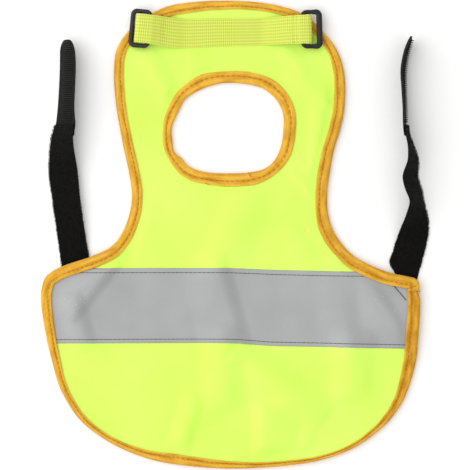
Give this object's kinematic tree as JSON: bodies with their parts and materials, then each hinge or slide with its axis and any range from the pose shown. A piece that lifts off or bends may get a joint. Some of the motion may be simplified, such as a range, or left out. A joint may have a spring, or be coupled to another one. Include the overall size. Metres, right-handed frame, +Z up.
{
  "type": "chicken safety vest",
  "caption": "Flat high-visibility cloth vest for a hen: neck hole, reflective band, bound edges, webbing with two swinging rings, and hook-and-loop straps",
  "frame": {"origin": "Under the middle of the whole vest, on the surface that it lies on.", "axes": "+X is to the right of the vest as seen from above, +Y points to its neck end, +Z up, away from the surface."},
  "size_m": [0.2586, 0.3121, 0.0202],
  "materials": {
    "fluorescent_cloth": "matt fluorescent yellow-green woven polyester, slightly translucent",
    "amber_binding": "matt amber twill bias binding, folded over the edge and stitched in the same colour",
    "reflective_tape": "fine grained silver-grey glass-bead tape on woven backing, dull in soft light",
    "elastic_webbing": "ribbed yellow-green woven elastic",
    "black_plastic": "moulded black acetal with a satin surface",
    "loop_pile": "matt black brushed nylon loop pile",
    "hook_tape": "black woven nylon tape with rows of moulded hooks between plain selvedges"
  },
  "bodies": {
    "vest": {"body_panel": "fluorescent_cloth", "edge_binding": "amber_binding", "neck_binding": "amber_binding", "reflective_tape": "reflective_tape", "ring_webbing": "elastic_webbing", "strap_left_loop": "loop_pile", "strap_left_hook": "hook_tape", "strap_right_loop": "loop_pile", "strap_right_hook": "hook_tape"},
    "ring_left": {"ring_left": "black_plastic"},
    "ring_right": {"ring_right": "black_plastic"}
  },
  "joints": [
    {"name": "ring_left_swing", "type": "hinge", "parent": "vest", "child": "ring_left", "pos_m": [-0.0572, 0.1368, 0.007], "axis": [0.0958, 0.9954, 0], "range_deg": [0, 170]},
    {"name": "ring_right_swing", "type": "hinge", "parent": "vest", "child": "ring_right", "pos_m": [0.0453, 0.1367, 0.007], "axis": [0.0262, -0.9997, 0], "range_deg": [0, 170]}
  ]
}
